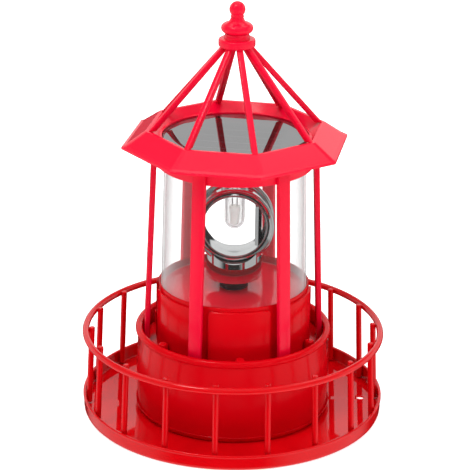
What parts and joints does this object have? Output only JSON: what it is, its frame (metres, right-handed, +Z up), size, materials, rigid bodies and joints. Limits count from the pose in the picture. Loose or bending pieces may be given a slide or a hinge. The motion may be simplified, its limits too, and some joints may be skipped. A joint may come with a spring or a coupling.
{
  "type": "garden lighthouse ornament",
  "caption": "Lighthouse-shaped garden ornament with a solar lamp, a turning mirror beacon, a railed tray and a ribbed roof with a finial.",
  "frame": {"origin": "centre of the tray's underside, which is the bottom centre of the whole object", "axes": "+Z up along the beacon's axis; -Y is the front, the way one flat side of the octagonal roof faces; +X is to the viewer's right"},
  "size_m": [0.1652, 0.1652, 0.2295],
  "materials": {
    "red_enamel": "gloss",
    "red_plastic": "satin",
    "red_gloss": "gloss",
    "clear": "gloss",
    "steel": "satin",
    "black_plastic": "satin",
    "nylon": "satin",
    "brass": "satin",
    "silicon": "gloss",
    "foam": "matt",
    "lamp_cup": "satin",
    "battery_wrap": "gloss",
    "board_green": "satin",
    "board_parts": "satin",
    "chrome": "mirror"
  },
  "bodies": {
    "base": {"tray": "red_enamel", "rail_ring": "red_enamel", "rail_posts": "red_enamel", "base_cup": "red_plastic", "motor_housing": "red_plastic", "locating_pegs": "red_plastic", "lantern_frame": "red_plastic", "roof_shell": "red_plastic", "roof_cage": "red_plastic", "finial": "red_plastic", "ceiling_cover": "red_plastic", "lantern_glass": "clear", "panel_cover": "clear", "led_bulb": "clear", "cup_screws": "steel", "frame_screws": "steel", "ceiling_screws": "steel", "plate_screws": "steel", "motor_screws": "steel", "idler_pin": "steel", "battery_contacts": "steel", "led_leads": "steel", "gear_plate": "steel", "motor": "steel", "battery_cradle": "black_plastic", "panel_backing": "black_plastic", "switch_body": "black_plastic", "led_holder": "nylon", "spindle_bush": "brass", "lantern_floor": "red_gloss", "solar_cell": "silicon", "panel_seal": "foam", "led_chip": "lamp_cup", "battery_cell": "battery_wrap", "circuit_board": "board_green", "board_parts": "board_parts"},
    "beacon": {"reflector": "chrome", "beacon_hub": "black_plastic", "spindle": "steel", "spindle_gear": "nylon", "spindle_clip": "steel"},
    "idler": {"idler_gear": "nylon"},
    "pinion": {"motor_pinion": "brass", "motor_shaft": "steel"},
    "switch": {"switch_knob": "black_plastic"}
  },
  "joints": [
    {"name": "reflector_spin", "type": "hinge", "parent": "base", "child": "beacon", "pos_m": [0, 0, 0.0618], "axis": [0, 0, 1], "continuous": true},
    {"name": "idler_spin", "type": "hinge", "parent": "base", "child": "idler", "pos_m": [0, 0.0192, 0.0592], "axis": [0, 0, 1], "continuous": true},
    {"name": "pinion_spin", "type": "hinge", "parent": "base", "child": "pinion", "pos_m": [-0.01128, 0.0233, 0.0562], "axis": [0, 0, 1], "continuous": true},
    {"name": "switch_slide", "type": "slide", "parent": "base", "child": "switch", "axis": [1, 0, 0], "range_m": [0, 0.003]}
  ],
  "couplings": [
    {"joint": "idler_spin", "follows": "reflector_spin", "ratio": -3},
    {"joint": "pinion_spin", "follows": "reflector_spin", "ratio": 9}
  ]
}
